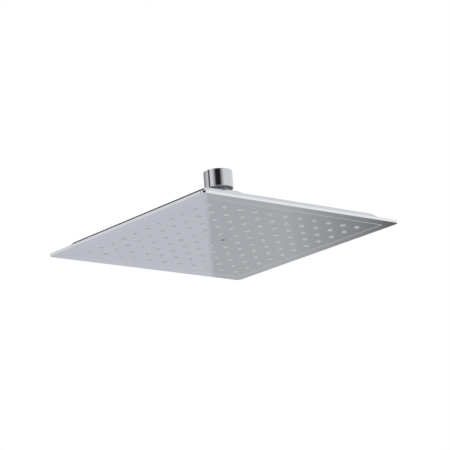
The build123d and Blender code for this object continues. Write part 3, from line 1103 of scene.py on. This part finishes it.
# The collar's wall and the rim are upright and seen from below, so they mirror bands that stand
# higher than the face. Each has its heading, its spread to both sides, in degrees, and its shades
BAND_REACH = 2.32
BAND_HEIGHTS = (0.5, 0.9)
BAND_STEPS = 48
BANDS = {
    # Black, over the camera and soft at both ends: the dark stripe on the collar
    "black_band": (
        230.5,
        45.5,
        ((0.04, "#F2F2F2"), (0.35, "#29292A"), (0.7, "#29292A"), (1.0, "#F0F0F0")),
    ),
    # Narrow, to the left of it: the thin line beside that stripe
    "thin_band": (
        151,
        11.3,
        ((0.0, "#CFD0D2"), (0.3, "#4E4F52"), (0.58, "#4E4F52"), (0.95, "#E4E5E6")),
    ),
    # Grey, at the back: the collar's edges and, twice mirrored, its underside
    "grey_band": (
        85,
        54,
        (
            (0.18, "#E6E6E8"),
            (0.32, "#B0B1B4"),
            (0.5, "#A4A6A9"),
            (0.87, "#6C6F75"),
            (1.0, "#E8E8E8"),
        ),
    ),
}

# A dark strip high up at the back lies along the bevel to the left of the near corner
FLAG_HEADING = math.radians(68)
FLAG_RISE = math.radians(38)
FLAG_REACH = 2.4
FLAG_SIZE = (1.2, 0.58)
FLAG_SHADES = ((0, "#444548"),)

LAMP_SIDE = 1.4
LAMP_PLACE = Vector((-0.5, -0.6, 1.5))
SENSOR_WIDTH = 36.0  # millimetres, as Blender counts it
FARTHEST_VIEW = 100.0


def toward(heading, rise):
    """Direction at a heading from +X and an angle over the horizon."""
    level = math.cos(rise)
    return Vector((math.cos(heading) * level, math.sin(heading) * level, math.sin(rise)))


def studio_sheet(context, name, columns, material):
    """Sheet through columns of a lower and an upper point, with a map that counts them."""
    mesh = bpy.data.meshes.new(name)
    last = len(columns) - 1
    points = [point for column in columns for point in column]
    mesh.from_pydata(points, [], [(2 * i, 2 * i + 2, 2 * i + 3, 2 * i + 1) for i in range(last)])
    places = mesh.uv_layers.new(name="Across").uv
    for loop in mesh.loops:
        places[loop.index].vector = (loop.vertex_index // 2 / last, loop.vertex_index % 2)
    mesh.materials.append(material)
    made = bpy.data.objects.new(name, mesh)
    context.scene.collection.objects.link(made)
    return made


def flat_sheet(context, name, size, material):
    """Flat sheet, facing +Z until it is turned."""
    x, y = size[0] / 2, size[1] / 2
    columns = (((-x, -y, 0), (-x, y, 0)), ((x, -y, 0), (x, y, 0)))
    return studio_sheet(context, name, columns, material)


def card_finish(name, shades):
    """Paper that only the chrome sees, plain or with shades that run from one end to the other."""
    material = bpy.data.materials.new(name)
    material.use_nodes = True
    tree = material.node_tree
    tree.nodes.clear()
    shade = (*linear(shades[0][1]), 1)
    if len(shades) > 1:
        place = add(tree, "ShaderNodeTexCoord").outputs["UV"]
        across = add(tree, "ShaderNodeSeparateXYZ", {0: place})
        shade = add(tree, "ShaderNodeValToRGB", {"Fac": across}, shades)
    glow = add(tree, "ShaderNodeEmission", {"Color": shade})
    add(tree, "ShaderNodeOutputMaterial", {"Surface": glow})
    return material


def mirrored_only(sheet):
    """Hides a sheet from the camera and from the light, so that only the chrome shows it."""
    sheet.visible_camera = False
    sheet.visible_diffuse = False
    sheet.visible_shadow = False


def card(context, name, heading, rise, reach, size, shades):
    """Card around the object, facing the middle of the face."""
    sheet = flat_sheet(context, name, size, card_finish(name, shades))
    sheet.location = Vector((0, 0, FACE_Z)) + toward(heading, rise) * reach
    sheet.rotation_euler = (TURN / 4 + rise, 0, heading - TURN / 4)
    mirrored_only(sheet)


def band(context, name, heading, spread, shades):
    """Upright strip bent around the object."""
    columns = []
    for i in range(BAND_STEPS + 1):
        angle = math.radians(heading + spread * (1 - 2 * i / BAND_STEPS))
        x, y = BAND_REACH * math.cos(angle), BAND_REACH * math.sin(angle)
        columns.append([(x, y, FACE_Z + height) for height in BAND_HEIGHTS])
    mirrored_only(studio_sheet(context, name, columns, card_finish(name, shades)))


def shiny_rays(tree):
    """What a ray is for, and 1 for the rays that a mirror or a clear piece sends on."""
    path = add(tree, "ShaderNodeLightPath").outputs
    either = {0: path["Is Glossy Ray"], 1: path["Is Transmission Ray"]}
    return path, add(tree, "ShaderNodeMath", either, operation="MAXIMUM")


class SHOWER_OT_stage(bpy.types.Operator):
    """Floor, soft light, the cards that the chrome mirrors, and the camera"""

    bl_idname = "shower.stage"
    bl_label = "Studio"

    def execute(self, context):
        scene, settings = context.scene, context.scene.shower_stage
        scene.view_settings.view_transform = "Standard"
        self.room(scene, settings)
        self.floor(context, settings)
        reach = settings.card_distance / math.cos(settings.elevation)
        sight = (settings.azimuth, -settings.elevation, reach)
        card(context, "face_screen", *sight, FACE_SCREEN_SIZE, FACE_SCREEN_SHADES)
        for name, place_and_shades in BANDS.items():
            band(context, name, *place_and_shades)
        high = (FLAG_HEADING, FLAG_RISE, FLAG_REACH)
        card(context, "bevel_flag", *high, FLAG_SIZE, FLAG_SHADES)
        self.lamp(scene, settings)
        self.camera(scene, settings)
        return {"FINISHED"}

    def room(self, scene, settings):
        """White room: white to the eye, greyer overhead in the chrome, and a plain light."""
        world = bpy.data.worlds.new("White room")
        scene.world = world
        world.use_nodes = True
        tree = world.node_tree
        tree.nodes.clear()
        path, shiny = shiny_rays(tree)
        direction = add(tree, "ShaderNodeTexCoord").outputs["Generated"]
        height = add(tree, "ShaderNodeSeparateXYZ", {0: direction}).outputs["Z"]
        shade = add(tree, "ShaderNodeValToRGB", {"Fac": height}, ROOM_SHADES)
        white = {"Color": (1, 1, 1, 1)}
        seen = add(tree, "ShaderNodeBackground", {**white, "Strength": 1.0})
        mirrored = add(tree, "ShaderNodeBackground", {"Color": shade, "Strength": 1.0})
        light = add(tree, "ShaderNodeBackground", {**white, "Strength": settings.room_light})
        chrome = add(tree, "ShaderNodeMixShader", {0: shiny, 1: light, 2: mirrored})
        whole = add(tree, "ShaderNodeMixShader", {0: path["Is Camera Ray"], 1: chrome, 2: seen})
        add(tree, "ShaderNodeOutputWorld", {"Surface": whole})

    def floor(self, context, settings):
        """Paper floor, and the greyer sheet that the chrome shows in its place."""
        level = FACE_Z - settings.floor_drop
        floor = flat_sheet(context, "floor", (FLOOR_SIDE, FLOOR_SIDE), self.paper(settings))
        floor.location.z = level
        finish_seen = card_finish("floor_card", FLOOR_CARD_SHADES)
        sheet = flat_sheet(context, "floor_card", (FLOOR_CARD_SIDE, FLOOR_CARD_SIDE), finish_seen)
        sheet.location.z = level + FLOOR_CARD_RISE
        mirrored_only(sheet)

    def paper(self, settings):
        """White paper, as pale to the eye as the room, with the shade that falls on it kept."""
        material, tree, shader, _ = begin("White paper", linear(FLOOR_SHADE), roughness=0.9)
        path, shiny = shiny_rays(tree)
        either = {0: shiny, 1: path["Is Camera Ray"]}
        seen = add(tree, "ShaderNodeMath", either, operation="MAXIMUM")
        lift = add(tree, "ShaderNodeMath", {0: seen, 1: settings.floor_lift}, operation="MULTIPLY")
        shader.inputs["Emission Color"].default_value = (1, 1, 1, 1)
        tree.links.new(lift.outputs[0], shader.inputs["Emission Strength"])
        return material

    def lamp(self, scene, settings):
        """Soft box high up on the camera's side, which the chrome doesn't show."""
        light = bpy.data.lights.new("soft_box", "AREA")
        light.energy, light.size = settings.soft_box, LAMP_SIDE
        box = bpy.data.objects.new("soft_box", light)
        box.location = LAMP_PLACE
        box.rotation_euler = (-LAMP_PLACE).to_track_quat("-Z", "Y").to_euler()
        box.visible_glossy = False
        scene.collection.objects.link(box)

    def camera(self, scene, settings):
        """Camera below the face, looking up at it with a slight lean."""
        lens = bpy.data.cameras.new("camera")
        lens.lens, lens.sensor_width, lens.clip_end = settings.lens, SENSOR_WIDTH, FARTHEST_VIEW
        camera = bpy.data.objects.new("camera", lens)
        ahead = toward(settings.azimuth, settings.elevation)
        level = Vector((math.sin(settings.azimuth), -math.cos(settings.azimuth), 0))
        up = level.cross(ahead) * math.cos(settings.roll) + level * math.sin(settings.roll)
        facing = Matrix((ahead.cross(up), up, -ahead)).transposed().to_4x4()
        place = Vector((0, 0, FACE_Z)) + Vector(settings.place)
        camera.matrix_world = Matrix.Translation(place) @ facing
        scene.collection.objects.link(camera)
        scene.camera = camera


SETTINGS = {
    "shower_collar": CollarSizes,
    "shower_joint": JointSizes,
    "shower_shell": ShellSizes,
    "shower_face": FaceSizes,
    "shower_gauze": GauzeSizes,
    "shower_colours": Colours,
    "shower_stage": StageSettings,
}
STEPS = (
    SHOWER_OT_collar,
    SHOWER_OT_gauze,
    SHOWER_OT_ball_nut,
    SHOWER_OT_swivel_boss,
    SHOWER_OT_shell,
    SHOWER_OT_face,
    SHOWER_OT_nozzles,
    SHOWER_OT_inner_pieces,
    SHOWER_OT_stage,
)


class SHOWER_PT_panel(bpy.types.Panel):
    """Sidebar panel with every step and its sizes"""

    bl_idname = "SHOWER_PT_panel"
    bl_label = "Shower Head"
    bl_space_type = "VIEW_3D"
    bl_region_type = "UI"
    bl_category = "Shower Head"

    def draw(self, context):
        for step in STEPS:
            self.layout.operator(step.bl_idname)
        for name, group in SETTINGS.items():
            box = self.layout.box()
            box.label(text=group.__doc__)
            for prop in group.__annotations__:
                box.prop(getattr(context.scene, name), prop)


CLASSES = (*SETTINGS.values(), *STEPS, SHOWER_PT_panel)


def register():
    for cls in CLASSES:
        bpy.utils.register_class(cls)
    for name, group in SETTINGS.items():
        setattr(bpy.types.Scene, name, PointerProperty(type=group))


def unregister():
    for name in SETTINGS:
        delattr(bpy.types.Scene, name)
    for cls in reversed(CLASSES):
        bpy.utils.unregister_class(cls)


def main():
    register()
    bpy.ops.shower.collar()
    bpy.ops.shower.gauze()
    bpy.ops.shower.ball_nut()
    bpy.ops.shower.swivel_boss()
    bpy.ops.shower.shell()
    bpy.ops.shower.face()
    bpy.ops.shower.nozzles()
    bpy.ops.shower.inner_pieces()
    bpy.ops.shower.stage()


if __name__ == "__main__":
    main()
